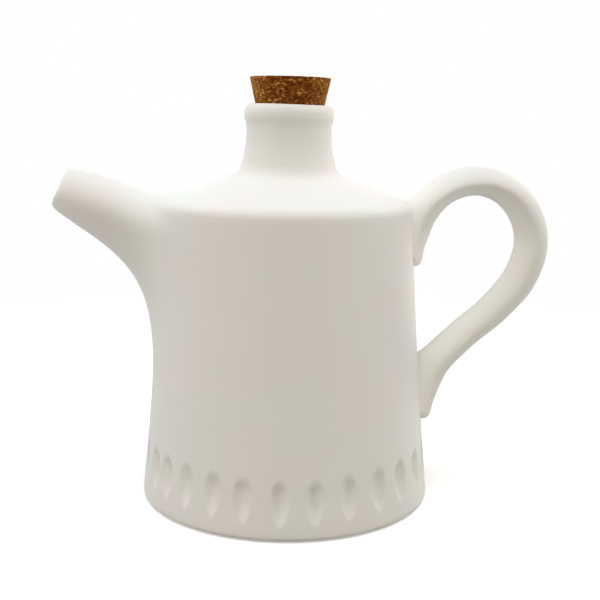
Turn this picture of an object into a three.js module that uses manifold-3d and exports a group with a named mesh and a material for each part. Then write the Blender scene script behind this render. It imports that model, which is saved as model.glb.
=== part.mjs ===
// Oil cruet: a matte white ceramic pouring pot with a tapered cork in its neck.
// Millimetres, +Z up. The origin is on the pot's axis, at the underside of its flat base.
// The spout points to -X and the handle to +X, and both lie in the plane y = 0.
import * as THREE from 'three';
import { LoftGeometry } from 'three/addons/geometries/LoftGeometry.js';
import { mergeVertices } from 'three/addons/utils/BufferGeometryUtils.js';
import Module from 'manifold-3d';

const wasm = await Module();
wasm.setup();

// Pot body: floor and wall
const FOOT_RADIUS = 49.8;
const FOOT_ROUNDING = 1.2;
const WALL_TOP_RADIUS = 41.6; // outside, at the shoulder's edge
const WALL_HEIGHT = 100.3; // from the table to the shoulder's edge
const WALL_BOW = 0.5; // how far the wall hollows in from a straight cone
const WALL_THICKNESS = 4.5;
const FLOOR_THICKNESS = 5.5;
const FLOOR_FILLET = 6;

// Carved ring of notches above the foot
const NOTCH_COUNT = 28;
const NOTCH_WIDTH = 6.5;
const NOTCH_HEIGHT = 15;
const NOTCH_DEPTH = 1.3;
const NOTCH_TIP_HEIGHT = 4.3; // the point at the bottom, above the table
const NOTCH_BELLY = 0.78; // where the notch is deepest, as a share of its height

// Shoulder and neck
const SHOULDER_SLOPE = 19; // degrees
const SHOULDER_ROUNDING = 1.4;
const SHOULDER_THICKNESS = 4.5;
const SKIRT_DEPTH = 2; // the rim under the shoulder, down to the joint with the wall
const NECK_WALL = 3.65;
const NECK_FLARE = 7.6; // how far the foot of the neck spreads out over the shoulder
const NECK_FLARE_HEIGHT = 12.9;
const NECK_STRAIGHT = 3.8; // from the waist to the rim
const RIM_BAND = 6;
const RIM_BULGE = 0.6;
const RIM_ROUNDING = 1.6;

// Cork and its seat
const CORK_TOP_RADIUS = 13.6;
const CORK_BOTTOM_RADIUS = 9;
const CORK_LENGTH = 20;
const CORK_STAND = 8.7; // how far it stands out of the rim
const CORK_CHAMFER = 0.4;
const SEAT_DEPTH = 6; // the tapered part of the mouth
const SEAT_GAP = 0.3;

// Spout
const SPOUT_REACH = 33.7; // the lip's centre, out from the shoulder's edge
const SPOUT_RISE = 3; // the lip's centre, above the shoulder's edge
const SPOUT_TILT = 31.6; // degrees that the mouth faces up
const SPOUT_LIP_RADIUS = 7.6;
const SPOUT_LIP_ROUNDING = 0.8;
const SPOUT_BORE_LIP_RADIUS = 5;
const SPOUT_BORE_ROOT_RADIUS = 6.8;
const SPOUT_ROOT_HALF_WIDTH = 22;
const SPOUT_FLARE = 1.4; // above 1, the spout widens later along its length
const SPOUT_TOP_FALL = 14; // degrees that the upper line falls away from the lip
const SPOUT_TOP_LEAD = 20; // reach of that direction along the upper line
const SPOUT_VALLEY_OUT = 5; // the pull of the upper line's dip, out from the shoulder's edge
const SPOUT_VALLEY_DROP = 1; // and below it
const SPOUT_LAP = 12; // how far the root laps in over the shoulder
const SPOUT_DROP = 62; // the root's lowest point, below the shoulder's edge
const SPOUT_LIP_LEAD = 28; // reach of the lip's direction along the lower line
const SPOUT_ROOT_LEAD = 34; // reach of the wall's direction along the lower line
const SPOUT_LOW_OUT = 3.5; // how far that reach stands off the wall
const ROOT_SINK = 2; // how deep the root is drawn into the clay before it is cut to fit

// Handle: its centre line, from the upper root to the lower one
const HANDLE_REACH = 40.4; // the centre line's farthest point, out from the wall
const HANDLE_RISE = 7.6; // the centre line's highest point, above the shoulder's edge
const HANDLE_TAIL_HEIGHT = 27; // the lower root's end, above the table
const HANDLE_TOP_THICKNESS = 10;
const HANDLE_SIDE_THICKNESS = 11.7;
const HANDLE_UPPER_TAIL_THICKNESS = 8;
const HANDLE_LOWER_TAIL_THICKNESS = 7;
const HANDLE_WIDTH = 13;
const HANDLE_ROOT_WIDTH = 16;
const HANDLE_END_ROUNDING = 2.5;
// Points as shares of the reach and of the height from the lower root to the top
const HANDLE_LINE = [
  [-0.02, 0.67],
  [0.03, 0.77],
  [0.115, 0.87],
  [0.27, 0.957],
  [0.53, 1],
  [0.745, 0.972],
  [0.92, 0.895],
  [1, 0.757],
  [0.904, 0.602],
  [0.688, 0.473],
  [0.376, 0.334],
  [0.15, 0.213],
  [0.04, 0.093],
  [-0.012, 0],
];

// Fits and fineness
const LUTE_GAP = 0.3; // between a piece and the clay that it is cut to fit
const CUT_MARGIN = 2; // how far a cutter runs past what it cuts
const ROUND_SIDES = 48;
const CURVE_STEPS = 4;
const NOTCH_SIDES = 12;
const NOTCH_STEPS = 3;
const SPOUT_SIDES = 24;
const SPOUT_STEPS = 14;
const HANDLE_SIDES = 14;
const HANDLE_STEPS = 34;
const END_STEPS = 2;

const radians = THREE.MathUtils.degToRad;
const shoulderTan = Math.tan(radians(SHOULDER_SLOPE));
const shoulderCos = Math.cos(radians(SHOULDER_SLOPE));

// Outer radius of the wall at a height, and how it changes with height
function wallRadius(height) {
  const share = Math.min(height, WALL_HEIGHT) / WALL_HEIGHT;
  const straight = THREE.MathUtils.lerp(FOOT_RADIUS, WALL_TOP_RADIUS, share);
  return straight - 4 * WALL_BOW * share * (1 - share);
}

function wallSlope(height) {
  const share = height / WALL_HEIGHT;
  return (WALL_TOP_RADIUS - FOOT_RADIUS - 4 * WALL_BOW * (1 - 2 * share)) / WALL_HEIGHT;
}

// Height of the shoulder's upper and lower faces at a radius
const shoulderTop = (radius) => WALL_HEIGHT + (WALL_TOP_RADIUS - radius) * shoulderTan;
const shoulderUnder = (radius) => shoulderTop(radius) - SHOULDER_THICKNESS / shoulderCos;

const corkTaper = (CORK_TOP_RADIUS - CORK_BOTTOM_RADIUS) / CORK_LENGTH;
const mouthRadius = CORK_TOP_RADIUS - CORK_STAND * corkTaper + SEAT_GAP;
const boreRadius = mouthRadius - SEAT_DEPTH * corkTaper;
const neckRadius = boreRadius + NECK_WALL;
const rimRadius = neckRadius + RIM_BULGE;
const waistHeight = shoulderTop(neckRadius) + NECK_FLARE_HEIGHT;
const rimLow = waistHeight + NECK_STRAIGHT;
const rimTop = rimLow + RIM_BAND;
// Where the rounding of the shoulder's edge starts on the wall and ends on the shoulder
const edgeLow = WALL_HEIGHT - SHOULDER_ROUNDING;
const edgeIn = WALL_TOP_RADIUS - SHOULDER_ROUNDING * shoulderCos;
const innerTopRadius = WALL_TOP_RADIUS - WALL_THICKNESS;
const jointHeight = shoulderUnder(innerTopRadius) - SKIRT_DEPTH;

// A three.js geometry as a solid that can be joined and cut
function toSolid(geometry) {
  const bare = new THREE.BufferGeometry();
  bare.setAttribute('position', geometry.attributes.position);
  bare.setIndex(geometry.index);
  const welded = mergeVertices(bare);
  const triangles = [];
  for (let i = 0; i < welded.index.count; i += 3) {
    const corners = [0, 1, 2].map((k) => welded.index.getX(i + k));
    if (new Set(corners).size === 3) {
      triangles.push(...corners);
    }
  }
  const mesh = new wasm.Mesh({
    numProp: 3,
    vertProperties: welded.attributes.position.array,
    triVerts: Uint32Array.from(triangles),
  });
  return new wasm.Manifold(mesh);
}

function toMesh(name, solid, material) {
  const { vertProperties, triVerts } = solid.getMesh();
  const geometry = new THREE.BufferGeometry();
  geometry.setAttribute('position', new THREE.BufferAttribute(vertProperties, 3));
  geometry.setIndex(new THREE.BufferAttribute(triVerts, 1));
  geometry.computeVertexNormals();
  const mesh = new THREE.Mesh(geometry, material);
  mesh.name = name;
  return mesh;
}

// A profile of radius and height, turned about the Z axis
function lathe(profile, sides, steps) {
  const geometry = new THREE.LatheGeometry(profile.getPoints(steps), sides);
  return geometry.rotateX(Math.PI / 2);
}

const turned = (profile) => toSolid(lathe(profile, ROUND_SIDES, CURVE_STEPS));

// Draws the wall's curve from one height to another, so far in from its outer face
function drawWall(profile, from, to, inset) {
  const middle = (from + to) / 2;
  const bend = wallRadius(from) + wallSlope(from) * (middle - from) - inset;
  profile.quadraticCurveTo(bend, middle, wallRadius(to) - inset, to);
}

// The outer line of the pot from its foot to the neck, so far out from the clay
function drawOutside(profile, out) {
  drawWall(profile, FOOT_ROUNDING, edgeLow, -out);
  profile.quadraticCurveTo(WALL_TOP_RADIUS + out, WALL_HEIGHT + out, edgeIn + out, shoulderTop(edgeIn) + out);
  drawNeckFlare(profile, out);
}

function drawNeckFlare(profile, out) {
  const flareRadius = neckRadius + NECK_FLARE;
  profile.lineTo(flareRadius + out, shoulderTop(flareRadius) + out);
  profile.quadraticCurveTo(neckRadius + out, shoulderTop(neckRadius) + out, neckRadius + out, waistHeight);
}

// The outside of the pot as one solid, a lute gap larger: what the spout and the handle are cut to fit
function potOutside() {
  const profile = new THREE.Path();
  profile.moveTo(0, FOOT_ROUNDING);
  profile.lineTo(wallRadius(FOOT_ROUNDING) + LUTE_GAP, FOOT_ROUNDING);
  drawOutside(profile, LUTE_GAP);
  profile.lineTo(0, waistHeight);
  return turned(profile);
}

// Pot body
function bodyShell() {
  const innerRadius = (height) => wallRadius(height) - WALL_THICKNESS;
  const filletTop = FLOOR_THICKNESS + FLOOR_FILLET;
  const profile = new THREE.Path();
  profile.moveTo(0, 0);
  profile.lineTo(FOOT_RADIUS - FOOT_ROUNDING, 0);
  profile.quadraticCurveTo(FOOT_RADIUS, 0, wallRadius(FOOT_ROUNDING), FOOT_ROUNDING);
  drawWall(profile, FOOT_ROUNDING, jointHeight, 0);
  profile.lineTo(innerRadius(jointHeight), jointHeight);
  drawWall(profile, jointHeight, filletTop, WALL_THICKNESS);
  profile.quadraticCurveTo(
    innerRadius(FLOOR_THICKNESS), FLOOR_THICKNESS,
    innerRadius(FLOOR_THICKNESS) - FLOOR_FILLET, FLOOR_THICKNESS,
  );
  profile.lineTo(0, FLOOR_THICKNESS);
  return turned(profile);
}

// A teardrop with its point down. Its axis stands off the wall, so only its side cuts in.
function notchCutter(angle) {
  const standOff = (NOTCH_WIDTH ** 2 / 4 - NOTCH_DEPTH ** 2) / (2 * NOTCH_DEPTH);
  const deepest = standOff + NOTCH_DEPTH;
  const belly = NOTCH_BELLY * NOTCH_HEIGHT;
  const profile = new THREE.Path();
  profile.moveTo(0, 0);
  profile.lineTo(standOff, 0);
  profile.quadraticCurveTo(standOff + NOTCH_DEPTH / 3, belly / 2, deepest, belly);
  profile.quadraticCurveTo(deepest, NOTCH_HEIGHT, standOff, NOTCH_HEIGHT);
  profile.lineTo(0, NOTCH_HEIGHT);
  const lean = Math.atan(wallSlope(NOTCH_TIP_HEIGHT + NOTCH_HEIGHT / 2));
  const geometry = lathe(profile, NOTCH_SIDES, NOTCH_STEPS);
  geometry.rotateY(lean);
  geometry.translate(wallRadius(NOTCH_TIP_HEIGHT) + standOff, 0, NOTCH_TIP_HEIGHT);
  geometry.rotateZ(angle);
  return toSolid(geometry);
}

function makeBody() {
  let solid = bodyShell().subtract(spoutBore());
  for (let i = 0; i < NOTCH_COUNT; i += 1) {
    const angle = (i / NOTCH_COUNT) * 2 * Math.PI; // the first is below the handle
    solid = solid.subtract(notchCutter(angle));
  }
  return solid;
}

// Shoulder and neck
function makeShoulder() {
  const profile = new THREE.Path();
  profile.moveTo(wallRadius(jointHeight), jointHeight);
  drawWall(profile, jointHeight, edgeLow, 0);
  profile.quadraticCurveTo(WALL_TOP_RADIUS, WALL_HEIGHT, edgeIn, shoulderTop(edgeIn));
  drawNeckFlare(profile, 0);
  profile.lineTo(neckRadius, rimLow);
  profile.quadraticCurveTo(rimRadius, rimLow, rimRadius, rimLow + RIM_BAND / 2);
  profile.lineTo(rimRadius, rimTop - RIM_ROUNDING);
  profile.quadraticCurveTo(rimRadius, rimTop, rimRadius - RIM_ROUNDING, rimTop);
  profile.lineTo(mouthRadius, rimTop);
  profile.lineTo(boreRadius, rimTop - SEAT_DEPTH);
  profile.lineTo(boreRadius, shoulderUnder(boreRadius));
  profile.lineTo(innerTopRadius, shoulderUnder(innerTopRadius));
  profile.lineTo(wallRadius(jointHeight) - WALL_THICKNESS, jointHeight);
  profile.closePath();
  return turned(profile);
}

// An oval section. "across" is its half axis in the plane y = 0.
function oval(centre, across, halfWidth, sides) {
  const points = [];
  for (let i = 0; i < sides; i += 1) {
    const angle = (2 * Math.PI * i) / sides;
    const point = centre.clone().addScaledVector(across, Math.cos(angle));
    point.y = halfWidth * Math.sin(angle);
    points.push(point);
  }
  return points;
}

const loft = (sections) => toSolid(new LoftGeometry(sections, { capStart: true, capEnd: true }));

// Spout
const spoutIn = new THREE.Vector3(Math.cos(radians(SPOUT_TILT)), 0, -Math.sin(radians(SPOUT_TILT)));
const spoutDown = new THREE.Vector3(-Math.sin(radians(SPOUT_TILT)), 0, -Math.cos(radians(SPOUT_TILT)));
const lipCentre = new THREE.Vector3(-WALL_TOP_RADIUS - SPOUT_REACH, 0, WALL_HEIGHT + SPOUT_RISE);

function spoutTopLine() {
  const lip = lipCentre.clone().addScaledVector(spoutDown, -SPOUT_LIP_RADIUS);
  const fall = radians(SPOUT_TOP_FALL);
  const lead = new THREE.Vector3(Math.cos(fall), 0, -Math.sin(fall)).multiplyScalar(SPOUT_TOP_LEAD);
  const rootRadius = WALL_TOP_RADIUS - SPOUT_LAP;
  return new THREE.CubicBezierCurve3(
    lip,
    lip.clone().add(lead),
    new THREE.Vector3(-WALL_TOP_RADIUS - SPOUT_VALLEY_OUT, 0, WALL_HEIGHT - SPOUT_VALLEY_DROP),
    new THREE.Vector3(-rootRadius, 0, shoulderTop(rootRadius) - ROOT_SINK),
  );
}

function spoutLowLine() {
  const lip = lipCentre.clone().addScaledVector(spoutDown, SPOUT_LIP_RADIUS);
  const rootHeight = WALL_HEIGHT - SPOUT_DROP;
  const leadHeight = rootHeight + SPOUT_ROOT_LEAD;
  return new THREE.CubicBezierCurve3(
    lip,
    lip.clone().addScaledVector(spoutIn, SPOUT_LIP_LEAD),
    new THREE.Vector3(-wallRadius(leadHeight) - SPOUT_LOW_OUT, 0, leadHeight),
    new THREE.Vector3(-wallRadius(rootHeight) + ROOT_SINK, 0, rootHeight),
  );
}

// A straight tapered bore, square to the mouth, from beyond the lip through the wall
function spoutBore() {
  const innerRadius = innerTopRadius - SPOUT_BORE_ROOT_RADIUS;
  const length = (WALL_TOP_RADIUS + SPOUT_REACH - innerRadius) / spoutIn.x;
  const taper = (SPOUT_BORE_ROOT_RADIUS - SPOUT_BORE_LIP_RADIUS) / length;
  const sections = [-CUT_MARGIN, length].map((distance) => {
    const centre = lipCentre.clone().addScaledVector(spoutIn, distance);
    const radius = SPOUT_BORE_LIP_RADIUS + taper * distance;
    return oval(centre, spoutDown.clone().multiplyScalar(radius), radius, SPOUT_SIDES);
  });
  return loft(sections);
}

function makeSpout(outside) {
  const topLine = spoutTopLine();
  const lowLine = spoutLowLine();
  const sections = [];
  for (let i = 0; i <= SPOUT_STEPS; i += 1) {
    const share = i / SPOUT_STEPS;
    const top = topLine.getPoint(share);
    const low = lowLine.getPoint(share);
    const centre = top.clone().lerp(low, 0.5);
    const halfWidth = THREE.MathUtils.lerp(SPOUT_LIP_RADIUS, SPOUT_ROOT_HALF_WIDTH, share ** SPOUT_FLARE);
    sections.push(oval(centre, low.clone().sub(centre), halfWidth, SPOUT_SIDES));
  }
  const lipFace = lipCentre.clone().addScaledVector(spoutIn, -SPOUT_LIP_ROUNDING);
  const faceRadius = SPOUT_LIP_RADIUS - SPOUT_LIP_ROUNDING;
  sections.unshift(oval(lipFace, spoutDown.clone().multiplyScalar(faceRadius), faceRadius, SPOUT_SIDES));
  return loft(sections).subtract(outside).subtract(spoutBore());
}

// Handle
function handleLine() {
  const height = WALL_HEIGHT + HANDLE_RISE - HANDLE_TAIL_HEIGHT;
  const points = HANDLE_LINE.map(([out, up]) => {
    const z = HANDLE_TAIL_HEIGHT + up * height;
    return new THREE.Vector3(wallRadius(z) + out * HANDLE_REACH, 0, z);
  });
  return new THREE.CatmullRomCurve3(points, false, 'centripetal');
}

// A size along the handle: from the upper root, over the top and down the side, to the lower root
function alongHandle(upperRoot, top, side, lowerRoot) {
  const sizes = [upperRoot, top, top, side, side, side, lowerRoot];
  const line = new THREE.SplineCurve(sizes.map((size, i) => new THREE.Vector2(i, size)));
  return (share) => line.getPoint(share).y;
}

function makeHandle(outside) {
  const line = handleLine();
  const thickness = alongHandle(
    HANDLE_UPPER_TAIL_THICKNESS, HANDLE_TOP_THICKNESS, HANDLE_SIDE_THICKNESS, HANDLE_LOWER_TAIL_THICKNESS,
  );
  const width = alongHandle(HANDLE_ROOT_WIDTH, HANDLE_WIDTH, HANDLE_WIDTH, HANDLE_ROOT_WIDTH);
  const sectionAt = (share, beyond, shrink) => {
    const along = line.getTangent(share);
    const centre = line.getPoint(share).addScaledVector(along, beyond);
    const across = new THREE.Vector3(along.z, 0, -along.x).multiplyScalar((thickness(share) / 2) * shrink);
    return oval(centre, across, (width(share) / 2) * shrink, HANDLE_SIDES);
  };
  const sections = [];
  for (let i = 0; i <= HANDLE_STEPS; i += 1) {
    sections.push(sectionAt(i / HANDLE_STEPS, 0, 1));
  }
  for (let i = 1; i <= END_STEPS; i += 1) {
    const turn = (i / (END_STEPS + 1)) * (Math.PI / 2);
    const beyond = HANDLE_END_ROUNDING * Math.sin(turn);
    const shrink = Math.cos(turn);
    sections.unshift(sectionAt(0, -beyond, shrink));
    sections.push(sectionAt(1, beyond, shrink));
  }
  return loft(sections).subtract(outside);
}

// Cork, from its own origin at the middle of its lower end
function makeCork() {
  const profile = new THREE.Path();
  profile.moveTo(0, 0);
  profile.lineTo(CORK_BOTTOM_RADIUS - CORK_CHAMFER, 0);
  profile.lineTo(CORK_BOTTOM_RADIUS + CORK_CHAMFER * corkTaper, CORK_CHAMFER);
  profile.lineTo(CORK_TOP_RADIUS - CORK_CHAMFER * corkTaper, CORK_LENGTH - CORK_CHAMFER);
  profile.lineTo(CORK_TOP_RADIUS - CORK_CHAMFER, CORK_LENGTH);
  profile.lineTo(0, CORK_LENGTH);
  return turned(profile);
}

const clay = () => new THREE.MeshStandardMaterial({ color: 0xf0ede6, roughness: 0.85, metalness: 0 });
const corkGrain = () => new THREE.MeshStandardMaterial({ color: 0x8a5a2c, roughness: 0.9, metalness: 0 });

const outside = potOutside();
const pot = new THREE.Group();
pot.add(
  toMesh('pot_body', makeBody(), clay()),
  toMesh('shoulder_and_neck', makeShoulder(), clay()),
  toMesh('pouring_spout', makeSpout(outside), clay()),
  toMesh('strap_handle', makeHandle(outside), clay()),
);

const cork = toMesh('cork_stopper', makeCork(), corkGrain());
cork.position.z = rimTop + CORK_STAND - CORK_LENGTH;

const cruet = new THREE.Group();
cruet.add(pot, cork);

export default cruet;
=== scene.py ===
# Oil cruet: the looks of a matte white clay pouring pot and of the tapered cork in its neck.
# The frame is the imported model's: +Z up, the spout to -X, the handle to +X and the front to -Y.
# Sizes are in millimetres, and a piece is scaled to metres when its mesh is made.
import math

import bpy
import numpy as np
from mathutils import Matrix, Vector, noise


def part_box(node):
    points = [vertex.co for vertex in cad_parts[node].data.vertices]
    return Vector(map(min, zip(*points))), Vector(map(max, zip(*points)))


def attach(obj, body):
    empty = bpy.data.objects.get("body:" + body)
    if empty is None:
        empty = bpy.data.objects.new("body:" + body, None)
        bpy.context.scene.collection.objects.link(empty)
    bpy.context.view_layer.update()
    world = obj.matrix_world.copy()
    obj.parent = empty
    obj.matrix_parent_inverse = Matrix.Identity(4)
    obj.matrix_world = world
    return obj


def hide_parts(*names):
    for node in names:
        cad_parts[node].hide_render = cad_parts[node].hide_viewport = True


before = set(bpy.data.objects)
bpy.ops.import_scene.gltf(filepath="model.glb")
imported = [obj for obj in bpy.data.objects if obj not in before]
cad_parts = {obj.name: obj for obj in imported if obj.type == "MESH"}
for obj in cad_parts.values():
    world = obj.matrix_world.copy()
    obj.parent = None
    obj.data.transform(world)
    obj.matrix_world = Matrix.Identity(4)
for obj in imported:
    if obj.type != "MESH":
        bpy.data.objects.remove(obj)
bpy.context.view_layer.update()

MM = 0.001
SEED = 7
BACK = np.array([0, 1, 0])  # the way to the pot's far side

# Camera, set to the view and the square frame of the photograph
CAMERA_AWAY = 329.8  # in front of the pot's axis
CAMERA_HEIGHT = 126.9
CAMERA_PITCH = 10.4  # degrees down
CAMERA_YAW = 0.773  # degrees to the right
CAMERA_ROLL = 0.8  # degrees
CAMERA_LENS = 58.5
CAMERA_SENSOR = 36

# Pot body
FOOT_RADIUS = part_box("pot_body")[1].y / MM
FOOT_ROUNDING = 1.5
WALL_TOP_RADIUS = 41.6  # at the shoulder's edge
WALL_HEIGHT = 100.05  # up to the shoulder's edge
WALL_BOW = 0.5  # how far the wall hollows in from a straight cone
WALL_THICKNESS = 4.5
FLOOR_THICKNESS = 5.5
FLOOR_FILLET = 6
JOINT_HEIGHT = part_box("pot_body")[1].z / MM  # the body's top, where the shoulder's piece begins

# Carved notches above the foot. Those in view have their own angle, from the front towards the handle,
# and their own lift, as they were cut by eye.
NOTCH_COUNT = 28
NOTCHES_IN_VIEW = (
    (-62.4, 2.0),
    (-52.4, 1.9),
    (-40.4, 1.7),
    (-27.6, 1.5),
    (-15.5, 0.9),
    (-1.8, 0.3),
    (11.1, 0.3),
    (24.1, 0.9),
    (37.9, 1.5),
    (50.5, 1.9),
    (63.6, 2.2),
)
NOTCH_WIDTH = 6.3
NOTCH_HEIGHT = 15.2
NOTCH_DEPTH = 1.75
NOTCH_TIP = 3.7  # the lower end's height, before the lift
NOTCH_BELLY = 0.6  # the widest place, as a share of the height
NOTCH_TAPER = 0.75  # of its outline below the belly: 1 is a sine's curve, and less is fuller
NOTCH_SECTIONS = (4, 2)  # of its cut across, at the tip and at the belly: 2 is round, and more is flatter
NOTCH_EDGE = 1.4  # how softly the cut runs out at its edges: 1 is crisp
NOTCH_UNEVEN = (0.06, 0.1)  # of its width and of its depth, either way
NOTCH_FLOOR = (
    # how high up, and how deep it is cut there, as shares of the height and of the depth
    (0, 0),
    (0.1, 0.22),
    (0.25, 0.62),
    (0.4, 0.86),
    (0.55, 0.97),
    (0.65, 1),
    (0.73, 0.95),
    (0.8, 0.72),
    (0.88, 0.25),
    (1, 0),
)

# Shoulder and neck
SHOULDER_SLOPE = math.radians(21)
SHOULDER_ROUNDING = 2.8
SHOULDER_THICKNESS = 4.5
NECK_RADIUS = 14.17
NECK_FOOT_RADIUS = 16.5  # where the neck's line would meet the shoulder's
NECK_FLARE = math.tan(math.radians(15))  # of the neck's line at its foot
NECK_FILLET = 3
RIM_RADIUS = 14.92
RIM_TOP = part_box("shoulder_and_neck")[1].z / MM
RIM_DEPTH = 4  # from the rim's top to its widest place
RIM_FALL = 4  # from there down to the waist
MOUTH_RADIUS = 11.9
MOUTH_ROUNDING = 0.3
BORE_RADIUS = 10.52
SEAT_DEPTH = 6
SEAT_TAPER = (MOUTH_RADIUS - BORE_RADIUS) / SEAT_DEPTH
NECK_DROP = 0.46  # how much lower the neck sits on the handle's side

# Spout
SPOUT_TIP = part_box("pouring_spout")[0].x / MM
SPOUT_TILT = math.radians(31.6)
SPOUT_LIP_HEIGHT = 103.3
SPOUT_LIP_RADIUS = 7.75
SPOUT_LIP_SKEW = (0.9, 0.3)  # how far the lip is cut back at its front, and left long at its back
SPOUT_LIP_LEAN = 1.2  # how far it is left long at its top
SPOUT_LIP_OUT = 1.75  # how far it stands out from the middle of the mouth
SPOUT_LIP_ROUNDING = 3  # of its outer edge
SPOUT_LIP_BREAK = 0.5  # of its inner edge
SPOUT_BORE_RADIUS = 5.0
SPOUT_BORE_GROWTH = 0.034  # of the radius, for each millimetre inwards
SPOUT_FALL = math.radians(22.5)  # of the straight tube that blends into the pot
SPOUT_TUBE_HEIGHTS = (7.55, 9.9)  # half its height, at the lip and deep inside
SPOUT_TUBE_WIDTHS = (7.9, 12.9)
SPOUT_TUBE_GROWTH = 10  # how far inside it has most of its growth
SPOUT_BLENDS = (51.8, 22, 11)  # how far the clay is smoothed over, below it, beside it and above it
SPOUT_REACH = 0.88  # how much of the blend is drawn, as the rest is too slight to see
SPOUT_HOLE = (0.8, 1.6)  # the hole's ends, as shares of the way from the mouth to the shoulder's edge
ROOT_SINK = 1.2
EDGE_SOFTNESS = 2  # the power of a blend: more fades out more gently
ROOT_SOFTNESS = 3

# Handle: x, z and thickness along its middle, from the upper root to the lower one
HANDLE_LINE = (
    (42.0, 83.1, 7.3),
    (43.2, 89.3, 9.0),
    (45.9, 97.7, 10.3),
    (52.4, 104.6, 10.0),
    (63.0, 107.9, 9.8),
    (71.8, 105.7, 10.2),
    (78.9, 99.5, 10.9),
    (82.9, 88.2, 11.1),
    (79.9, 75.6, 11.1),
    (72.0, 65.1, 10.5),
    (59.9, 54.2, 9.9),
    (51.3, 44.6, 9.9),
    (47.9, 35.0, 8.4),
    (46.7, 30.0, 6.9),
)
HANDLE_WIDTH = 13
HANDLE_ROOT_WIDTH = 16
HANDLE_ROOT_REACH = 32  # how far from the wall it has lost the width of its roots
HANDLE_CHANGE = (HANDLE_LINE[4][1], HANDLE_LINE[10][1])  # heights between which its form changes
HANDLE_FULLNESS = (1.6, 1.9)  # of its section, above and below: 2 is an oval, and less has sharper edges
HANDLE_FILLETS = (4, 6)  # at the upper and the lower root
HANDLE_LEAN = math.tan(math.radians(7))  # how far its front edge hangs below its back edge
HANDLE_TWIST = 0.15  # how far its front edge turns outwards where it comes down from the arch
HANDLE_END_ROUNDING = 4.2

# Cork
CORK_LOW, CORK_HIGH = (corner.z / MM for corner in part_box("cork_stopper"))
CORK_TOP_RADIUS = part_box("cork_stopper")[1].y / MM
CORK_BOTTOM_RADIUS = 9
CORK_ROUNDING = 0.4
CORK_LEAN = math.radians(0.6)  # it sits a little askew, towards the handle
CORK_SHIFT = 0.1
CORK_PITS = 520
CORK_PIT_SIZES = (0.3, 0.95)
CORK_PIT_DEPTHS = (0.1, 0.34)
CORK_PIT_STRETCH = (0.6, 1.4)
CORK_GRAIN = 0.06  # depth of its fine roughness
CORK_GRAIN_SCALE = 1.1  # of that roughness, in a millimetre

# Fineness of the meshes: points round a piece, rows of a rounding or a length, and steps between rows
BODY_SIDES = 720
FOOT_ROWS = 5
FOOT_STEP = 0.8
NOTCH_STEP = 0.42
NOTCH_MARGIN = 0.5  # how far the notches' fine rows go on below and above them
NOTCH_FLOOR_ROWS = 8
WALL_STEP = 4
INSIDE_STEP = 12
FLOOR_FILLET_ROWS = 6
FLOOR_RING = 1 / 3  # where a flat floor has a ring of points, as a share of its radius
NECK_SIDES = 288
SKIRT_STEP = 1
EDGE_ROWS = 8
SHOULDER_STEP = 2
NECK_FILLET_ROWS = 14
NECK_ROWS = 16
RIM_STEP = 0.4
RIM_ROWS = 12
MOUTH_ROWS = 4
SPOUT_SIDES = 144
SPOUT_ROWS = 80
LIP_ROWS = 10
LIP_BREAK_ROWS = 4
BORE_ROWS = 8
HANDLE_SIDES = 64
HANDLE_ROWS = 200
HANDLE_END_ROWS = 6
CORK_SIDES = 320
CORK_STEP = 0.25
CORK_EDGE_ROWS = 3
CORK_BOTTOM_ROWS = 20
CORK_TOP_ROWS = 40
CORK_MIDDLE = 1  # radius of the innermost rows of the cork's ends
SHARP_ANGLE = math.radians(40)
HALVINGS = 40  # of a distance that is searched for
ROOT_ROUNDS = 20  # of the search for the bore's end
PROBE = 0.01  # to either side of a point, to find the way out of the pot's skin

# Clay: tints and bump
CLAY_TINTS = (
    # place on the ramp, and colour
    (0.4, (0.855, 0.827, 0.775, 1)),  # rosier
    (0.6, (0.83, 0.842, 0.78, 1)),  # greener
)
CLAY_PATCH = 40  # patches of tint in a metre
CLAY_GRAIN = 1500  # grains in a metre
CLAY_GRAIN_HEIGHT = 0.08  # as a share of the relief
CLAY_RINGS = 650  # throwing rings in a metre
CLAY_DETAIL = 2
CLAY_RELIEF = 0.1 * MM
CLAY_ROUGHNESS = 0.8
CLAY_SPECULAR = 0.25
RING_HEIGHTS = {"thrown_clay": 0.2, "turned_clay": 0.7, "pulled_clay": 0.0}  # as shares of the relief

# Cork: granules, flecks and blotches, which add up to a tone on the ramp of browns
CORK_BROWNS = (
    (0.0, (0.09, 0.014, 0, 1)),
    (0.4, (0.21, 0.058, 0.005, 1)),
    (0.7, (0.35, 0.125, 0.02, 1)),
    (1.0, (0.66, 0.36, 0.11, 1)),
)
CORK_GRAINS = 800  # granules in a metre
CORK_FLECKS = 1040  # flecks in a metre
CORK_BLOTCHES = 280  # blotches in a metre
CORK_FLECK_DETAIL = 4
CORK_BLOTCH_DETAIL = 2
CORK_STRETCH = (0.8, 0.8, 1.4)  # the granules are pressed flat
CORK_BASE_TONE = -2.1
CORK_FLECK_TONE = 3.2
CORK_BLOTCH_TONE = 1.4
CORK_GRAIN_TONE = 0.25
CORK_RELIEF = 0.3 * MM
CORK_ROUGHNESS = 0.85
CORK_SPECULAR = 0.05
CORK_SHEEN = 0.8
CORK_SHEEN_TINT = (1, 0.5, 0.12, 1)

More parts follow.
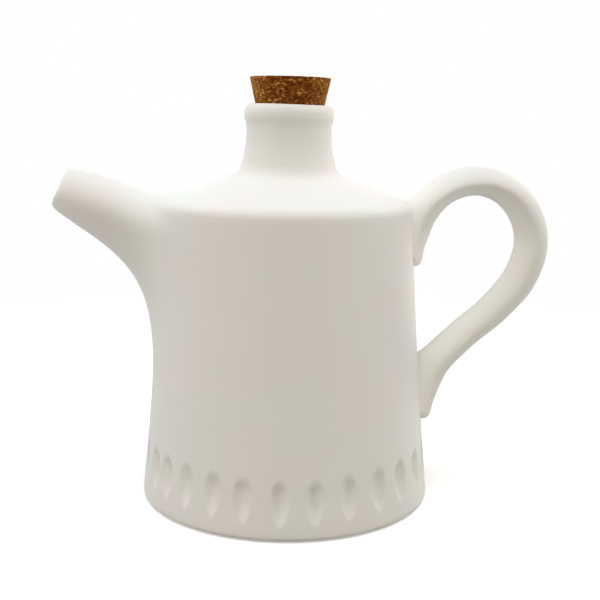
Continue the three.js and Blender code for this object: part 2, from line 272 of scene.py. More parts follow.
# Stage and lamps
TABLE_RADIUS = 400  # beyond it the backdrop goes on, as white as the table
TABLE_SIDES = 96
TABLE_DROP = 0.55  # below the foot, which leaves a thin dark line under it
TABLE_GREY = (0.5, 0.5, 0.5, 1)  # of the light it throws back on the pot
TABLE_WHITE = (0.95, 0.95, 0.95, 1)  # of what the camera sees
TABLE_GLOW = 0.28  # what the camera sees besides the table's light and shade
BACKDROP_WHITE = (1, 1, 1, 1)
LAMPS = (
    # name, place, size, power in watts, colour
    ("top", (0, 0, 900), 700, 3.4, (0.82, 0.98, 1)),
    ("top_front", (0, -235, 900), 500, 3.2, (0.91, 0.83, 1)),
    ("front", (0, -800, 460), 500, 1.87, (1, 0.87, 0.58)),
    ("front_left", (-700, -450, 500), 600, 1.37, (1, 1, 1)),
    ("back_left", (-700, 600, 350), 600, 3.2, (0.96, 0.98, 1)),
    ("back_right", (700, 600, 350), 600, 4.3, (1, 0.92, 0.83)),
    ("low_left", (-900, -100, 60), 400, 1.3, (1, 0.83, 0.85)),
    ("low_right", (900, -100, 60), 400, 2.5, (1, 1, 1)),
)
LAMP_AIM = Vector((0, 0, 70)) * MM


# Curves
def spaced(low, high, step):
    """Even values from low to high, about a step apart."""
    return np.linspace(low, high, max(2, round(abs(high - low) / step) + 1))


def between(ends, share):
    """The value at a share of the way from the first of two ends to the second."""
    return ends[0] + (ends[1] - ends[0]) * share


def ease(share):
    """0 to 1 with a soft start and end."""
    share = np.clip(share, 0, 1)
    return share * share * (3 - 2 * share)


def fade(share):
    """1 to 0 with a soft start and a longer, softer end."""
    return (1 - share) ** 3 * (1 + 3 * share)


def bend(start, towards, end, steps):
    """Points, or rings of points, of a curve that heads for a corner, without its first one."""
    start, towards, end = np.array(start), np.array(towards), np.array(end)
    t = np.linspace(0, 1, steps + 1)[1:].reshape([-1] + [1] * start.ndim)
    return (1 - t) ** 2 * start + 2 * t * (1 - t) * towards + t**2 * end


def smooth_line(points, steps):
    """A smooth curve through points, with as many steps between each two."""
    points = np.array(points, float)
    gaps = np.linalg.norm(np.diff(points[:, :2], axis=0), axis=1)
    places = np.concatenate([[0], np.cumsum(gaps)])
    slopes = np.gradient(points, places, axis=0)
    t = np.linspace(0, 1, steps + 1)[1:, None]
    keep = 2 * t**3 - 3 * t**2 + 1
    leave, arrive = t**3 - 2 * t**2 + t, t**3 - t**2
    line = [points[:1]]
    for i, gap in enumerate(gaps):
        straight = keep * points[i] + (1 - keep) * points[i + 1]
        line.append(straight + gap * (leave * slopes[i] + arrive * slopes[i + 1]))
    return np.concatenate(line)


# The pot's outer line
def wall_radius(height):
    share = height / WALL_HEIGHT
    return between((FOOT_RADIUS, WALL_TOP_RADIUS), share) - 4 * WALL_BOW * share * (1 - share)


def shoulder_height(radius):
    return WALL_HEIGHT + (WALL_TOP_RADIUS - radius) * math.tan(SHOULDER_SLOPE)


def edge_line():
    """The rounded edge from the wall to the shoulder, as radius and height."""
    low = WALL_HEIGHT - SHOULDER_ROUNDING
    inner = WALL_TOP_RADIUS - SHOULDER_ROUNDING * math.cos(SHOULDER_SLOPE)
    start = (wall_radius(low), low)
    corner = (WALL_TOP_RADIUS, WALL_HEIGHT)
    return bend(start, corner, (inner, shoulder_height(inner)), EDGE_ROWS)


# Meshes
def round_angles(sides):
    """Angles of the points round a piece."""
    return np.arange(sides) * 2 * math.pi / sides


def skin(rings, closed=False):
    """Points and faces of a surface through rings of points. It closes on itself or ends in two tips."""
    rings = np.asarray(rings, float)
    count, sides = rings.shape[:2]
    points = rings.reshape(-1, 3)
    ring = np.arange(count if closed else count - 1)[:, None]
    side = np.arange(sides)[None, :]
    after, beside = (ring + 1) % count, (side + 1) % sides
    corners = (ring * sides + side, ring * sides + beside, after * sides + beside, after * sides + side)
    faces = np.stack(np.broadcast_arrays(*corners), -1).reshape(-1, 4).tolist()
    if not closed:
        last = (count - 1) * sides
        points = np.concatenate([points, rings[:1].mean(1), rings[-1:].mean(1)])
        for i in range(sides):
            j = (i + 1) % sides
            faces.append([j, i, count * sides])
            faces.append([last + i, last + j, count * sides + 1])
    return points, faces


def turn(radii, heights, sides):
    """Rings about the Z axis. The radii and heights are one for each ring, or one for each point."""
    angle = round_angles(sides)
    radii = np.broadcast_to(np.reshape(radii, (len(radii), -1)), (len(radii), sides))
    heights = np.broadcast_to(np.reshape(heights, (len(heights), -1)), (len(heights), sides))
    return np.stack([radii * np.cos(angle), radii * np.sin(angle), heights], -1)


def make_object(name, points, faces):
    mesh = bpy.data.meshes.new(name)
    mesh.from_pydata((points * MM).tolist(), [], faces)
    thing = bpy.data.objects.new(name, mesh)
    bpy.context.collection.objects.link(thing)
    return thing


def make_piece(name, surface, material, body, node):
    piece = make_object(name, *surface)
    piece.data.shade_smooth()
    piece.data.set_sharp_from_angle(angle=SHARP_ANGLE)
    piece.data.materials.append(material)
    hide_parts(node)
    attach(piece, body)
    return piece


# Pot body
def notch_places():
    """Angle and lift of the notches: those in view, and the rest spread round the back."""
    first, last = NOTCHES_IN_VIEW[0], NOTCHES_IN_VIEW[-1]
    behind = NOTCH_COUNT - len(NOTCHES_IN_VIEW)
    step = (360 - last[0] + first[0]) / (behind + 1)
    return list(NOTCHES_IN_VIEW) + [(last[0] + step * (i + 1), last[1]) for i in range(behind)]


def notch_cut(across, up):
    """Depth of one notch, as a share of the deepest, at places across its width and up its height."""
    below = np.clip(up / NOTCH_BELLY, 0, 1)
    above = np.clip((up - NOTCH_BELLY) / (1 - NOTCH_BELLY), 0, 1)
    half = np.sin(below * math.pi / 2) ** NOTCH_TAPER * np.sqrt(1 - above**2)
    floor = np.interp(up, *smooth_line(NOTCH_FLOOR, NOTCH_FLOOR_ROWS).T)
    inside = (up > 0) & (up < 1) & (np.abs(across) < half)
    share = np.divide(across, half, out=np.ones_like(across), where=inside)
    section = between(NOTCH_SECTIONS, ease(below))
    return np.where(inside, floor * (1 - np.abs(share) ** section) ** NOTCH_EDGE, 0)


def carved(height):
    """How deep the ring of notches cuts at a column of heights, for each side of the body."""
    hand = np.random.default_rng(SEED)
    turned = np.degrees(round_angles(BODY_SIDES)) + 90
    height = height[:, None]
    depth = np.zeros((len(height), BODY_SIDES))
    for angle, lift in notch_places():
        wider, deeper = hand.uniform(-1, 1, 2) * NOTCH_UNEVEN
        off = (turned - angle + 180) % 360 - 180
        across = np.radians(off) * wall_radius(height) / (NOTCH_WIDTH / 2 * (1 + wider))
        up = np.broadcast_to((height - NOTCH_TIP - lift) / NOTCH_HEIGHT, across.shape)
        depth = np.maximum(depth, NOTCH_DEPTH * (1 + deeper) * notch_cut(across, up))
    return depth


def body_surface():
    notch_low = NOTCH_TIP - NOTCH_MARGIN
    notch_high = NOTCH_TIP + NOTCH_HEIGHT + max(lift for _, lift in NOTCHES_IN_VIEW) + NOTCH_MARGIN
    foot_edge = FOOT_RADIUS - FOOT_ROUNDING
    foot_top = (wall_radius(FOOT_ROUNDING), FOOT_ROUNDING)
    foot = bend((foot_edge, 0), (FOOT_RADIUS, 0), foot_top, FOOT_ROWS)
    heights = np.concatenate([
        spaced(FOOT_ROUNDING, notch_low, FOOT_STEP)[1:-1],
        spaced(notch_low, notch_high, NOTCH_STEP),
        spaced(notch_high, JOINT_HEIGHT, WALL_STEP)[1:],
    ])
    wall = wall_radius(heights)[:, None] - carved(heights)
    fillet_top = FLOOR_THICKNESS + FLOOR_FILLET
    inner = spaced(JOINT_HEIGHT, fillet_top, INSIDE_STEP)
    floor_edge = wall_radius(FLOOR_THICKNESS) - WALL_THICKNESS
    fillet = bend(
        (wall_radius(fillet_top) - WALL_THICKNESS, fillet_top),
        (floor_edge, FLOOR_THICKNESS),
        (floor_edge - FLOOR_FILLET, FLOOR_THICKNESS),
        FLOOR_FILLET_ROWS,
    )
    rings = [
        turn([FOOT_RADIUS * FLOOR_RING, foot_edge], [0, 0], BODY_SIDES),
        turn(foot[:, 0], foot[:, 1], BODY_SIDES),
        turn(wall, heights, BODY_SIDES),
        turn(wall_radius(inner) - WALL_THICKNESS, inner, BODY_SIDES),
        turn(fillet[:, 0], fillet[:, 1], BODY_SIDES),
        turn([floor_edge * FLOOR_RING], [FLOOR_THICKNESS], BODY_SIDES),
    ]
    return skin(np.concatenate(rings))


def cut_hole(piece):
    """Opens the wall where the spout's bore comes through."""
    middle, inwards, down = mouth_frame()
    spread = ways_across(down)
    ends = [share * mouth_to_edge() for share in SPOUT_HOLE]
    rings = [middle + inwards * end + spread * bore_radius(end) for end in ends]
    cutter = make_object("hole", *skin(rings))
    change = piece.modifiers.new("hole", "BOOLEAN")
    change.operation = "DIFFERENCE"
    change.solver = "EXACT"
    change.object = cutter
    ready = piece.evaluated_get(bpy.context.evaluated_depsgraph_get())
    cut = bpy.data.meshes.new_from_object(ready)
    piece.modifiers.clear()
    piece.data = cut
    bpy.data.objects.remove(cutter)


# Shoulder and neck
def neck_line():
    """The neck's outer line from the shoulder to the rim's top, as radius and height."""
    corner = np.array([NECK_FOOT_RADIUS, shoulder_height(NECK_FOOT_RADIUS)])
    foot_radius = NECK_FOOT_RADIUS + NECK_FILLET
    foot = np.array([foot_radius, shoulder_height(foot_radius)])
    above = corner + np.array([-NECK_FLARE, 1]) * NECK_FILLET
    widest = RIM_TOP - RIM_DEPTH
    waist = widest - RIM_FALL
    upright = (NECK_RADIUS, above[1] + (above[0] - NECK_RADIUS) / NECK_FLARE)
    fillet = bend(foot, corner, above, NECK_FILLET_ROWS)
    flare = bend(above, upright, (NECK_RADIUS, waist), NECK_ROWS)
    swell = spaced(waist, widest, RIM_STEP)[1:]
    radii = between((NECK_RADIUS, RIM_RADIUS), fade((widest - swell) / RIM_FALL))
    rim_end = (MOUTH_RADIUS + MOUTH_ROUNDING, RIM_TOP)
    rim = bend((RIM_RADIUS, widest), (RIM_RADIUS, RIM_TOP), rim_end, RIM_ROWS)
    return np.concatenate([[foot], fillet, flare, np.stack([radii, swell], 1), rim])


def shoulder_surface():
    wall = spaced(JOINT_HEIGHT, WALL_HEIGHT - SHOULDER_ROUNDING, SKIRT_STEP)
    edge = edge_line()
    slope = spaced(edge[-1, 0], NECK_FOOT_RADIUS + NECK_FILLET, SHOULDER_STEP)[1:-1]
    mouth = bend(
        (MOUTH_RADIUS + MOUTH_ROUNDING, RIM_TOP),
        (MOUTH_RADIUS, RIM_TOP),
        (MOUTH_RADIUS - MOUTH_ROUNDING * SEAT_TAPER, RIM_TOP - MOUTH_ROUNDING),
        MOUTH_ROWS,
    )
    under = SHOULDER_THICKNESS / math.cos(SHOULDER_SLOPE)
    inner_top = WALL_TOP_RADIUS - WALL_THICKNESS
    inside = [
        (BORE_RADIUS, RIM_TOP - SEAT_DEPTH),
        (BORE_RADIUS, shoulder_height(BORE_RADIUS) - under),
        (inner_top, shoulder_height(inner_top) - under),
        (wall_radius(JOINT_HEIGHT) - WALL_THICKNESS, JOINT_HEIGHT),
    ]
    line = np.concatenate([
        np.stack([wall_radius(wall), wall], 1),
        edge,
        np.stack([slope, shoulder_height(slope)], 1),
        neck_line(),
        mouth,
        inside,
    ])
    rings = turn(line[:, 0], line[:, 1], NECK_SIDES)
    rise = shoulder_height(NECK_FOOT_RADIUS) - WALL_HEIGHT
    near = ease((rings[..., 0] + RIM_RADIUS) / (2 * RIM_RADIUS))
    rings[..., 2] -= NECK_DROP * near * ease((rings[..., 2] - WALL_HEIGHT) / rise)
    return skin(rings, closed=True)


# Spout
def mouth_frame():
    """The middle of the spout's mouth, the way into it and the way down across it."""
    inwards = np.array([math.cos(SPOUT_TILT), 0, -math.sin(SPOUT_TILT)])
    down = np.array([-math.sin(SPOUT_TILT), 0, -math.cos(SPOUT_TILT)])
    half = (SPOUT_LIP_RADIUS - SPOUT_BORE_RADIUS) / 2
    x = SPOUT_TIP + half + (SPOUT_BORE_RADIUS + half) * math.sin(SPOUT_TILT)
    return np.array([x, 0, SPOUT_LIP_HEIGHT]), inwards, down


def ways_across(down):
    """The way out from the spout's middle to each of its sides, from below and round by the back."""
    angle = round_angles(SPOUT_SIDES)[:, None]
    return np.cos(angle) * down + np.sin(angle) * BACK


def mouth_to_edge():
    """How deep from the mouth the spout's middle passes the radius of the shoulder's edge."""
    middle, inwards, _ = mouth_frame()
    return (-wall_radius(WALL_HEIGHT) - middle[0]) / inwards[0]


def bore_radius(depth):
    return SPOUT_BORE_RADIUS + SPOUT_BORE_GROWTH * depth


def soft_min(first, second, blend, power):
    """The smaller of two distances, smoothed where they differ by less than a blend."""
    near = np.clip(1 - np.abs(first - second) / blend, 0, 1)
    return np.minimum(first, second) - blend * near**power / (2 * power)


def pot_gap(points):
    """How far points are outside the pot's wall and shoulder."""
    radius = np.hypot(points[..., 0], points[..., 1])
    wall = wall_radius(points[..., 2]) - radius
    cap = (shoulder_height(radius) - points[..., 2]) * math.cos(SHOULDER_SLOPE)
    return -soft_min(wall, cap, SHOULDER_ROUNDING * math.cos(SHOULDER_SLOPE), EDGE_SOFTNESS)


def tube_gap(points):
    """How far points are outside the spout's own tube, and how far the clay is smoothed over there."""
    along = np.array([math.cos(SPOUT_FALL), 0, -math.sin(SPOUT_FALL)])
    below = np.array([-math.sin(SPOUT_FALL), 0, -math.cos(SPOUT_FALL)])
    off = points - mouth_frame()[0]
    depth, drop, side = off @ along, off @ below, off[..., 1]
    grown = 1 - np.exp(-depth / SPOUT_TUBE_GROWTH)
    tall = between(SPOUT_TUBE_HEIGHTS, grown)
    wide = between(SPOUT_TUBE_WIDTHS, grown)
    share = np.hypot(drop / tall, side / wide)
    lean = drop / np.hypot(drop, side)
    low, beside, top = SPOUT_BLENDS
    blend = beside + np.where(lean > 0, low - beside, top - beside) * lean**2
    return share * (share - 1) / np.hypot(drop / tall**2, side / wide**2), blend


def spout_reach(start, spread):
    """How far the skin of spout and pot is from a start, along each way across the spout."""
    near = np.ones(len(spread))
    far = np.full(len(spread), WALL_HEIGHT)
    for _ in range(HALVINGS):
        half = (near + far) / 2
        points = start + spread * half[:, None]
        tube, blend = tube_gap(points)
        inside = soft_min(pot_gap(points), tube, blend, ROOT_SOFTNESS) < 0
        near, far = np.where(inside, half, near), np.where(inside, far, half)
    return near[:, None]


def spout_depths(middle, inwards, spread):
    """How deep from the mouth the spout's skin runs out on the pot, along each way across it."""
    near = np.zeros(len(spread))
    far = np.full(len(spread), WALL_HEIGHT)
    for _ in range(HALVINGS):
        half = (near + far) / 2
        start = middle + inwards * half[:, None]
        tube, blend = tube_gap(start + spread * spout_reach(start, spread))
        inside = tube < SPOUT_REACH * blend
        near, far = np.where(inside, half, near), np.where(inside, far, half)
    return near[:, None]


def lip_depths():
    """How deep from the mouth's middle the lip lies, along each way across. Less than 0 is outside it."""
    angle = round_angles(SPOUT_SIDES)[:, None]
    front, back = SPOUT_LIP_SKEW
    skew = ((front - back) * np.sin(angle) - front - back) * np.sin(angle) / 2
    lean = SPOUT_LIP_LEAN * (1 - np.cos(angle)) / 2
    return skew - SPOUT_LIP_OUT - lean


def bore_depths(middle, inwards, spread):
    """How deep from the mouth the bore reaches the middle of the pot's wall, along each way across it."""
    depth = np.full((len(spread), 1), mouth_to_edge())
    for _ in range(ROOT_ROUNDS):
        root = middle + inwards * depth + spread * bore_radius(depth)
        beyond = np.hypot(root[:, 0], root[:, 1]) - wall_radius(root[:, 2]) + WALL_THICKNESS / 2
        depth += beyond[:, None]
    return depth


def out_of_pot(points):
    """The way straight out of the pot's skin at each of some points."""
    slopes = [pot_gap(points + step) - pot_gap(points - step) for step in np.eye(3) * PROBE]
    ways = np.stack(slopes, -1)
    return ways / np.linalg.norm(ways, axis=1)[:, None]


def spout_surface():
    middle, inwards, down = mouth_frame()
    spread = ways_across(down)
    lip_depth = lip_depths()
    outside = (lip_depth + SPOUT_LIP_ROUNDING, spout_depths(middle, inwards, spread))
    rings = []
    for share in np.linspace(1, 0, SPOUT_ROWS + 1):
        start = middle + inwards * between(outside, share)
        rings.append(start + spread * spout_reach(start, spread))
    lip = middle + inwards * lip_depth
    corner = lip + spread * spout_reach(lip, spread)
    crest = lip + spread * (SPOUT_BORE_RADIUS + SPOUT_LIP_BREAK)
    inner = lip + spread * SPOUT_BORE_RADIUS
    rings.extend(bend(rings[-1], corner, crest, LIP_ROWS))
    rings.extend(bend(crest, inner, inner + inwards * SPOUT_LIP_BREAK, LIP_BREAK_ROWS))
    inside = (lip_depth + SPOUT_LIP_BREAK, bore_depths(middle, inwards, spread))
    for share in np.linspace(0, 1, BORE_ROWS + 1)[1:]:
        reach = between(inside, share)
        rings.append(middle + inwards * reach + spread * bore_radius(np.maximum(reach, 0)))
    rings.append(rings[0] - out_of_pot(rings[0]) * ROOT_SINK)
    return skin(rings[::-1], closed=True)


# Handle
def handle_sections():
    """Middle, outer way, half thickness, half width and shrinking of the sections, rounded ends too."""
    line = smooth_line(HANDLE_LINE, HANDLE_ROWS // (len(HANDLE_LINE) - 1))
    middle = np.stack([line[:, 0], np.zeros(len(line)), line[:, 1]], -1)
    along = np.gradient(middle, axis=0)
    along /= np.linalg.norm(along, axis=1)[:, None]
    outer = np.cross(along, BACK)
    away = ease((middle[:, 0] - wall_radius(middle[:, 2])) / HANDLE_ROOT_REACH)
    width = between((HANDLE_ROOT_WIDTH, HANDLE_WIDTH), away)
    sections = [(middle[i], outer[i], line[i, 2] / 2, width[i] / 2, 1) for i in range(len(line))]
    for end, way in ((0, -1), (-1, 1)):
        centre, out, thick, wide, _ = sections[end]
        for turned in np.linspace(0, math.pi / 2, HANDLE_END_ROWS + 1)[1:-1]:
            shift = along[end] * way * HANDLE_END_ROUNDING * math.sin(turned)
            shrink = math.cos(turned)
            section = (centre + shift, out, thick * shrink, wide * shrink, shrink)
            sections.insert(0 if end == 0 else len(sections), section)
    return sections


def handle_ring(centre, out, thick, wide, shrink):
    """Points round one section, which leans, and swells into a fillet where it is near the wall."""
    angle = round_angles(HANDLE_SIDES)
    high, low = HANDLE_CHANGE
    lower = ease((high - centre[2]) / (high - low))
    fullness = between(HANDLE_FULLNESS, lower)
    fillet = between(HANDLE_FILLETS, lower)
    corner = np.abs(np.cos(angle)) ** fullness + np.abs(np.sin(angle)) ** fullness
    reach = corner ** (-1 / fullness)
    through, across = (np.cos(angle) * reach)[:, None], (np.sin(angle) * reach)[:, None]
    hang = (HANDLE_LEAN * out[2] - HANDLE_TWIST * max(out[0], 0) * (1 + out[2])) * wide
    power = fullness / (fullness - 1)
    core = max(thick**power - abs(hang) ** power, 0) ** (1 / power)
    spoke = (through * core + across * hang) * out + across * wide * BACK
    ring = centre + spoke
    gap = np.hypot(ring[:, 0], ring[:, 1]) - wall_radius(np.minimum(ring[:, 2], WALL_HEIGHT))
    swell = shrink * np.clip(fillet - gap, 0, fillet) ** 2 / (2 * fillet)
    return ring + spoke / np.linalg.norm(spoke, axis=1)[:, None] * swell[:, None]


def handle_surface():
    return skin([handle_ring(*section) for section in handle_sections()])


# Cork
def cork_line():
    """The cork's outline from the middle of its lower end to that of its top, as radius and height."""
    heights = spaced(CORK_LOW + CORK_ROUNDING, CORK_HIGH - CORK_ROUNDING, CORK_STEP)
    side = np.interp(heights, (CORK_LOW, CORK_HIGH), (CORK_BOTTOM_RADIUS, CORK_TOP_RADIUS))
    bottom = np.linspace(CORK_MIDDLE, CORK_BOTTOM_RADIUS - CORK_ROUNDING, CORK_BOTTOM_ROWS)
    top = np.linspace(CORK_TOP_RADIUS - CORK_ROUNDING, CORK_MIDDLE, CORK_TOP_ROWS)
    low_corner, top_corner = (CORK_BOTTOM_RADIUS, CORK_LOW), (CORK_TOP_RADIUS, CORK_HIGH)
    low_edge = bend((bottom[-1], CORK_LOW), low_corner, (side[0], heights[0]), CORK_EDGE_ROWS)
    top_edge = bend((side[-1], heights[-1]), top_corner, (top[0], CORK_HIGH), CORK_EDGE_ROWS)
    return np.concatenate([
        np.stack([bottom, np.full(len(bottom), CORK_LOW)], 1),
        low_edge[:-1],
        np.stack([side, heights], 1),
        top_edge[:-1],
        np.stack([top, np.full(len(top), CORK_HIGH)], 1),
    ])


def cork_surface():
    line = cork_line()
    rings = turn(line[:, 0], line[:, 1], CORK_SIDES)
    ways = np.gradient(line, axis=0)
    ways /= np.linalg.norm(ways, axis=1)[:, None]
    inwards = turn(-ways[:, 1], ways[:, 0], CORK_SIDES).reshape(-1, 3)
    points = rings.reshape(-1, 3)
    rough = np.array([noise.noise(Vector(point) * CORK_GRAIN_SCALE) for point in points])
    depth = CORK_GRAIN * (1 + rough) / 2
    hand = np.random.default_rng(SEED)
    for middle in points[hand.choice(len(points), CORK_PITS)]:
        size, deep = hand.uniform(*CORK_PIT_SIZES), hand.uniform(*CORK_PIT_DEPTHS)
        far = np.linalg.norm((points - middle) * hand.uniform(*CORK_PIT_STRETCH, 3), axis=1) / size
        depth = np.maximum(depth, deep * ease(1 - far))
    points = points + inwards * depth[:, None]
    foot = np.array([0, 0, CORK_LOW])
    lean = np.array(Matrix.Rotation(CORK_LEAN, 3, "Y"))
    sink = np.array([CORK_SHIFT, 0, -CORK_TOP_RADIUS * math.sin(CORK_LEAN)])
    points = (points - foot) @ lean.T + foot + sink
    return skin(points.reshape(rings.shape))


# Materials
def add_noise(nodes, scale, detail, dimensions="3D"):
    node = nodes.new("ShaderNodeTexNoise")
    node.noise_dimensions = dimensions
    node.inputs["Scale"].default_value = scale
    node.inputs["Detail"].default_value = detail
    return node


def add_sum(nodes, links, first, weight, second):
    """first * weight + second, as one node."""
    node = nodes.new("ShaderNodeMath")
    node.operation = "MULTIPLY_ADD"
    for i, value in enumerate((first, weight, second)):
        if isinstance(value, float):
            node.inputs[i].default_value = value
        else:
            links.new(value, node.inputs[i])
    return node.outputs[0]


def add_ramp(nodes, links, colours, share):
    """Colours at their places on a ramp, picked by a share."""
    node = nodes.new("ShaderNodeValToRGB")
    ramp = node.color_ramp.elements
    for place, _ in colours[1:-1]:
        ramp.new(place)
    for stop, (place, colour) in zip(ramp, colours):
        stop.position = place
        stop.color = colour
    links.new(share, node.inputs["Fac"])
    return node.outputs["Color"]


def add_bump(nodes, links, height, distance, shader):
    bump = nodes.new("ShaderNodeBump")
    bump.inputs["Distance"].default_value = distance
    links.new(height, bump.inputs["Height"])
    links.new(bump.outputs["Normal"], shader.inputs["Normal"])


def clay_group():
    """Colour and relief of bare fired clay, with throwing rings as strong as asked for."""
    group = bpy.data.node_groups.new("fired_clay", "ShaderNodeTree")
    group.interface.new_socket("Rings", in_out="INPUT", socket_type="NodeSocketFloat")
    group.interface.new_socket("Color", in_out="OUTPUT", socket_type="NodeSocketColor")
    group.interface.new_socket("Height", in_out="OUTPUT", socket_type="NodeSocketFloat")
    nodes, links = group.nodes, group.links
    given = nodes.new("NodeGroupInput")
    result = nodes.new("NodeGroupOutput")
    place = nodes.new("ShaderNodeTexCoord")
    parts = nodes.new("ShaderNodeSeparateXYZ")
    links.new(place.outputs["Object"], parts.inputs[0])
    patch = add_noise(nodes, CLAY_PATCH, CLAY_DETAIL)
    grain = add_noise(nodes, CLAY_GRAIN, CLAY_DETAIL)
    rings = add_noise(nodes, CLAY_RINGS, CLAY_DETAIL, "1D")
    links.new(place.outputs["Object"], patch.inputs["Vector"])
    links.new(place.outputs["Object"], grain.inputs["Vector"])
    links.new(parts.outputs["Z"], rings.inputs["W"])
    tint = add_ramp(nodes, links, CLAY_TINTS, patch.outputs["Fac"])
    height = add_sum(nodes, links, rings.outputs["Fac"], given.outputs["Rings"], 0.0)
    height = add_sum(nodes, links, grain.outputs["Fac"], CLAY_GRAIN_HEIGHT, height)
    links.new(tint, result.inputs["Color"])
    links.new(height, result.inputs["Height"])
    return group


def start_material(name, roughness, specular):
    material = bpy.data.materials.new(name)
    material.use_nodes = True
    nodes, links = material.node_tree.nodes, material.node_tree.links
    shader = nodes["Principled BSDF"]
    shader.inputs["Roughness"].default_value = roughness
    shader.inputs["Specular IOR Level"].default_value = specular
    return material, nodes, links, shader


def clay_material(name, group):
    material, nodes, links, shader = start_material(name, CLAY_ROUGHNESS, CLAY_SPECULAR)
    clay = nodes.new("ShaderNodeGroup")
    clay.node_tree = group
    clay.inputs["Rings"].default_value = RING_HEIGHTS[name]
    links.new(clay.outputs["Color"], shader.inputs["Base Color"])
    add_bump(nodes, links, clay.outputs["Height"], CLAY_RELIEF, shader)
    return material


def cork_material(name):
    material, nodes, links, shader = start_material(name, CORK_ROUGHNESS, CORK_SPECULAR)
    shader.inputs["Sheen Weight"].default_value = CORK_SHEEN
    shader.inputs["Sheen Tint"].default_value = CORK_SHEEN_TINT
    place = nodes.new("ShaderNodeTexCoord")
    pressed = nodes.new("ShaderNodeMapping")
    pressed.inputs["Scale"].default_value = CORK_STRETCH
    links.new(place.outputs["Object"], pressed.inputs["Vector"])
    granule = nodes.new("ShaderNodeTexVoronoi")
    granule.inputs["Scale"].default_value = CORK_GRAINS
    fleck = add_noise(nodes, CORK_FLECKS, CORK_FLECK_DETAIL)
    blotch = add_noise(nodes, CORK_BLOTCHES, CORK_BLOTCH_DETAIL)
    for node in (granule, fleck, blotch):
        links.new(pressed.outputs["Vector"], node.inputs["Vector"])
    shade = nodes.new("ShaderNodeSeparateColor")
    links.new(granule.outputs["Color"], shade.inputs[0])
    tone = add_sum(nodes, links, fleck.outputs["Fac"], CORK_FLECK_TONE, CORK_BASE_TONE)
    tone = add_sum(nodes, links, blotch.outputs["Fac"], CORK_BLOTCH_TONE, tone)
    tone = add_sum(nodes, links, shade.outputs[0], CORK_GRAIN_TONE, tone)
    links.new(add_ramp(nodes, links, CORK_BROWNS, tone), shader.inputs["Base Color"])
    add_bump(nodes, links, tone, CORK_RELIEF, shader)
    return material


# Stage, camera and light
def seen_ray(nodes, links):
    """1 for rays that show the stage: from the camera, a reflection or through glass."""
    path = nodes.new("ShaderNodeLightPath")
    found = path.outputs["Is Camera Ray"]
    for name in ("Is Glossy Ray", "Is Transmission Ray"):
        either = nodes.new("ShaderNodeMath")
        either.operation = "MAXIMUM"
        links.new(found, either.inputs[0])
        links.new(path.outputs[name], either.inputs[1])
        found = either.outputs[0]
    return found


def table_material():
    """Paint that takes light and shade, with a glow that only rays that show the stage see."""
    material = bpy.data.materials.new("white_table")
    material.use_nodes = True
    nodes, links = material.node_tree.nodes, material.node_tree.links
    nodes.clear()
    seen = seen_ray(nodes, links)
    colour = nodes.new("ShaderNodeMix")
    colour.data_type = "RGBA"
    colour.inputs["A"].default_value = TABLE_GREY
    colour.inputs["B"].default_value = TABLE_WHITE
    paint = nodes.new("ShaderNodeBsdfDiffuse")
    glow = nodes.new("ShaderNodeEmission")
    strength = nodes.new("ShaderNodeMath")
    strength.operation = "MULTIPLY"
    strength.inputs[1].default_value = TABLE_GLOW
    both = nodes.new("ShaderNodeAddShader")
    out = nodes.new("ShaderNodeOutputMaterial")
    links.new(seen, colour.inputs["Factor"])
    links.new(colour.outputs["Result"], paint.inputs["Color"])
    links.new(seen, strength.inputs[0])
    links.new(strength.outputs[0], glow.inputs["Strength"])
    links.new(paint.outputs[0], both.inputs[0])
    links.new(glow.outputs[0], both.inputs[1])
    links.new(both.outputs[0], out.inputs["Surface"])
    return material


def make_floor():
    edge = turn([TABLE_RADIUS], [-TABLE_DROP], TABLE_SIDES)[0]
    floor = make_object("floor", edge, [list(range(TABLE_SIDES))])
    floor.data.materials.append(table_material())


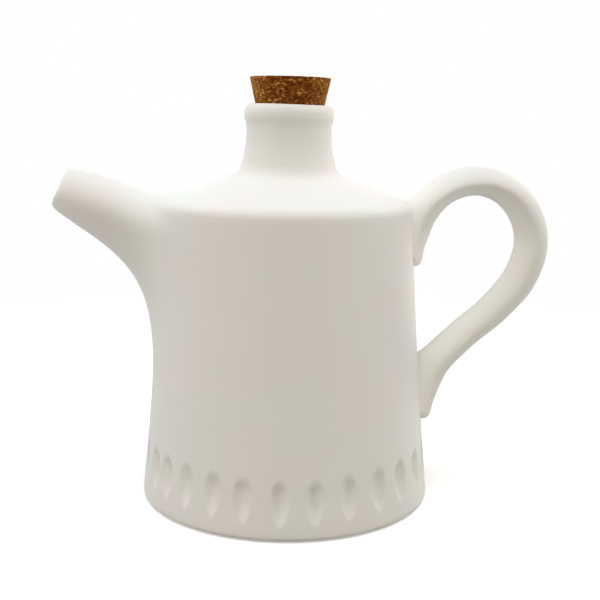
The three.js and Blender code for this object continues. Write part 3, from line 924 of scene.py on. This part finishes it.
def make_world():
    """A backdrop that is white where it is seen or mirrored, and gives no other light."""
    world = bpy.data.worlds.new("white_room")
    bpy.context.scene.world = world
    world.use_nodes = True
    nodes, links = world.node_tree.nodes, world.node_tree.links
    backdrop = nodes["Background"]
    backdrop.inputs["Color"].default_value = BACKDROP_WHITE
    links.new(seen_ray(nodes, links), backdrop.inputs["Strength"])


def make_lamps():
    for name, place, size, power, colour in LAMPS:
        lamp = bpy.data.lights.new(name, "AREA")
        lamp.shape = "SQUARE"
        lamp.size = size * MM
        lamp.energy = power
        lamp.color = colour
        holder = bpy.data.objects.new(name, lamp)
        bpy.context.collection.objects.link(holder)
        holder.location = Vector(place) * MM
        holder.rotation_euler = (LAMP_AIM - holder.location).to_track_quat("-Z", "Y").to_euler()
        holder.visible_camera = False


def make_camera():
    camera = bpy.data.cameras.new("camera")
    camera.sensor_width = CAMERA_SENSOR
    camera.lens = CAMERA_LENS
    holder = bpy.data.objects.new("camera", camera)
    bpy.context.collection.objects.link(holder)
    turned = Matrix.Rotation(-math.radians(CAMERA_YAW), 4, "Z")
    tilted = Matrix.Rotation(math.radians(90 - CAMERA_PITCH), 4, "X")
    rolled = Matrix.Rotation(math.radians(CAMERA_ROLL), 4, "Z")
    place = Matrix.Translation(Vector((0, -CAMERA_AWAY, CAMERA_HEIGHT)) * MM)
    holder.matrix_world = place @ turned @ tilted @ rolled
    bpy.context.scene.camera = holder


def main():
    make_camera()
    group = clay_group()
    thrown, turned, pulled = (clay_material(name, group) for name in RING_HEIGHTS)
    cork = cork_material("pressed_cork")
    body = make_piece("clay_body", body_surface(), thrown, "pot", "pot_body")
    cut_hole(body)
    make_piece("clay_shoulder", shoulder_surface(), turned, "pot", "shoulder_and_neck")
    make_piece("clay_spout", spout_surface(), pulled, "pot", "pouring_spout")
    make_piece("clay_handle", handle_surface(), pulled, "pot", "strap_handle")
    make_piece("cork", cork_surface(), cork, "cork", "cork_stopper")
    make_floor()
    make_world()
    make_lamps()
    bpy.context.scene.view_settings.view_transform = "Standard"


main()
